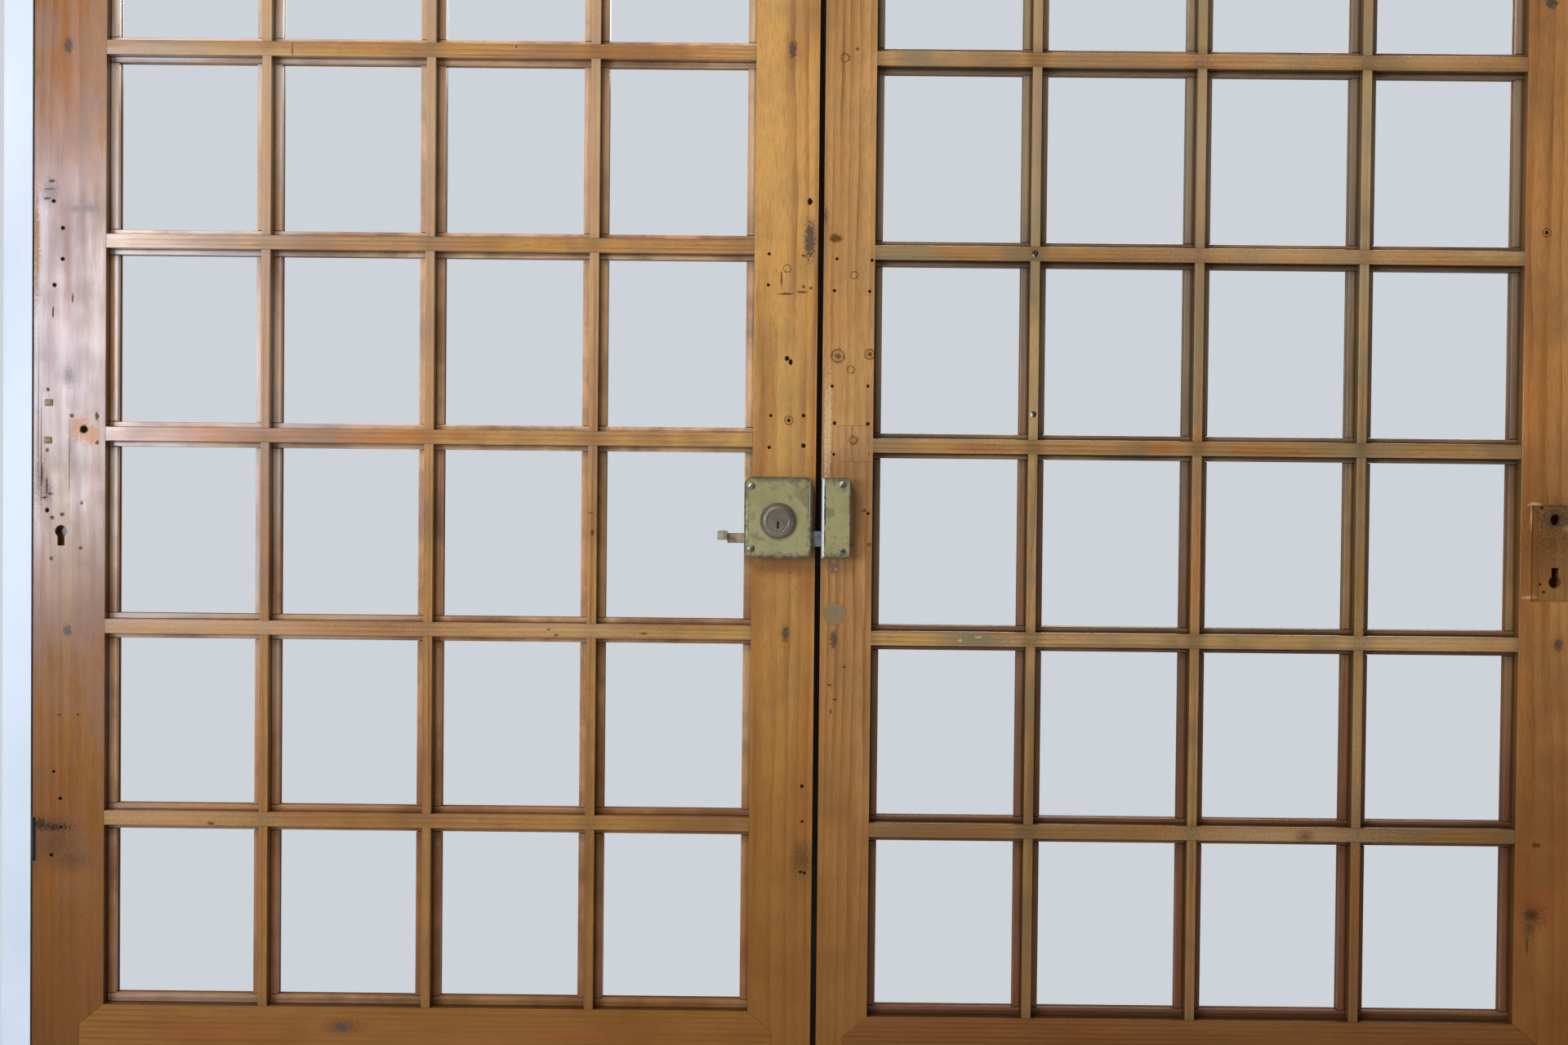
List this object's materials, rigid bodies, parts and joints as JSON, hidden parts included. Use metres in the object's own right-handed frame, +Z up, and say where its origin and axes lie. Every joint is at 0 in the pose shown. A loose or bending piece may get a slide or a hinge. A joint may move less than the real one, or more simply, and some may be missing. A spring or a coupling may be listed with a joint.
{
  "type": "french doors",
  "caption": "Pair of pine french doors with small empty lights over low panels, hung in a plain lining, with a rebated meeting edge and a rim latch.",
  "frame": {"origin": "middle of the underside of the sill, half way through the depth of the lining", "axes": "+X to the right as seen from the latch side, +Y away from the latch side, +Z up"},
  "size_m": [1.5838, 0.1308, 2.1558],
  "materials": {
    "left_pine": "old varnish, honey orange",
    "right_pine": "old varnish, browner and dirtier",
    "bead_pine": "old varnish",
    "lining_paint": "plain pale paint on softwood",
    "hinge_steel": "dull worn steel",
    "latch_paint": "olive green enamel, worn to metal on its edges",
    "cylinder_metal": "dull brown plated brass",
    "latch_steel": "blue grey steel"
  },
  "bodies": {
    "frame": {"frame_head": "lining_paint", "frame_hinge_plates": "hinge_steel", "frame_hinge_screws": "hinge_steel", "frame_left_jamb": "lining_paint", "frame_right_jamb": "lining_paint", "frame_sill": "lining_paint", "frame_stops": "lining_paint", "hinge_pins": "hinge_steel"},
    "left_leaf": {"latch_back_plate": "latch_steel", "latch_case": "latch_paint", "latch_case_screws": "latch_steel", "latch_cylinder": "cylinder_metal", "left_bottom_rail": "left_pine", "left_cross_bar_1": "left_pine", "left_cross_bar_2": "left_pine", "left_cross_bar_3": "left_pine", "left_cross_bar_4": "left_pine", "left_cross_bar_5": "left_pine", "left_cross_bar_6": "left_pine", "left_cross_bar_7": "left_pine", "left_cross_beads": "bead_pine", "left_hinge_plates": "hinge_steel", "left_hinge_screws": "hinge_steel", "left_hinge_stile": "left_pine", "left_lock_rail": "left_pine", "left_meeting_stile": "left_pine", "left_panel": "left_pine", "left_top_rail": "left_pine", "left_upright_bar_1": "left_pine", "left_upright_bar_2": "left_pine", "left_upright_bar_3": "left_pine", "left_upright_beads": "bead_pine"},
    "right_leaf": {"keeper": "latch_paint", "keeper_screws": "latch_steel", "right_bottom_rail": "right_pine", "right_cross_bar_1": "right_pine", "right_cross_bar_2": "right_pine", "right_cross_bar_3": "right_pine", "right_cross_bar_4": "right_pine", "right_cross_bar_5": "right_pine", "right_cross_bar_6": "right_pine", "right_cross_bar_7": "right_pine", "right_cross_beads": "bead_pine", "right_hinge_plates": "hinge_steel", "right_hinge_screws": "hinge_steel", "right_hinge_stile": "right_pine", "right_lock_rail": "right_pine", "right_meeting_stile": "right_pine", "right_panel": "right_pine", "right_repairs": "right_pine", "right_top_rail": "right_pine", "right_upright_bar_1": "right_pine", "right_upright_bar_2": "right_pine", "right_upright_bar_3": "right_pine", "right_upright_beads": "bead_pine"},
    "latch": {"latch_bolt": "latch_steel"},
    "key_plug": {"latch_plug": "latch_steel"}
  },
  "joints": [
    {"name": "left_leaf_swing", "type": "hinge", "parent": "frame", "child": "left_leaf", "pos_m": [-0.76295, -0.0565, 1.0779], "axis": [0, 0, -1], "range_deg": [0, 110]},
    {"name": "right_leaf_swing", "type": "hinge", "parent": "frame", "child": "right_leaf", "pos_m": [0.76295, -0.0565, 1.0779], "axis": [0, 0, 1], "range_deg": [0, 110]},
    {"name": "latch_slide", "type": "slide", "parent": "left_leaf", "child": "latch", "axis": [-1, 0, 0], "range_m": [0, 0.016], "stiffness_N_per_m": 250, "springref_m": -0.01},
    {"name": "key_turn", "type": "hinge", "parent": "left_leaf", "child": "key_plug", "pos_m": [-0.03315, -0.073, 1.025], "axis": [0, -1, 0], "range_deg": [0, 90]}
  ],
  "couplings": [
    {"joint": "key_turn", "follows": "latch_slide", "rad_per_m": 98}
  ]
}
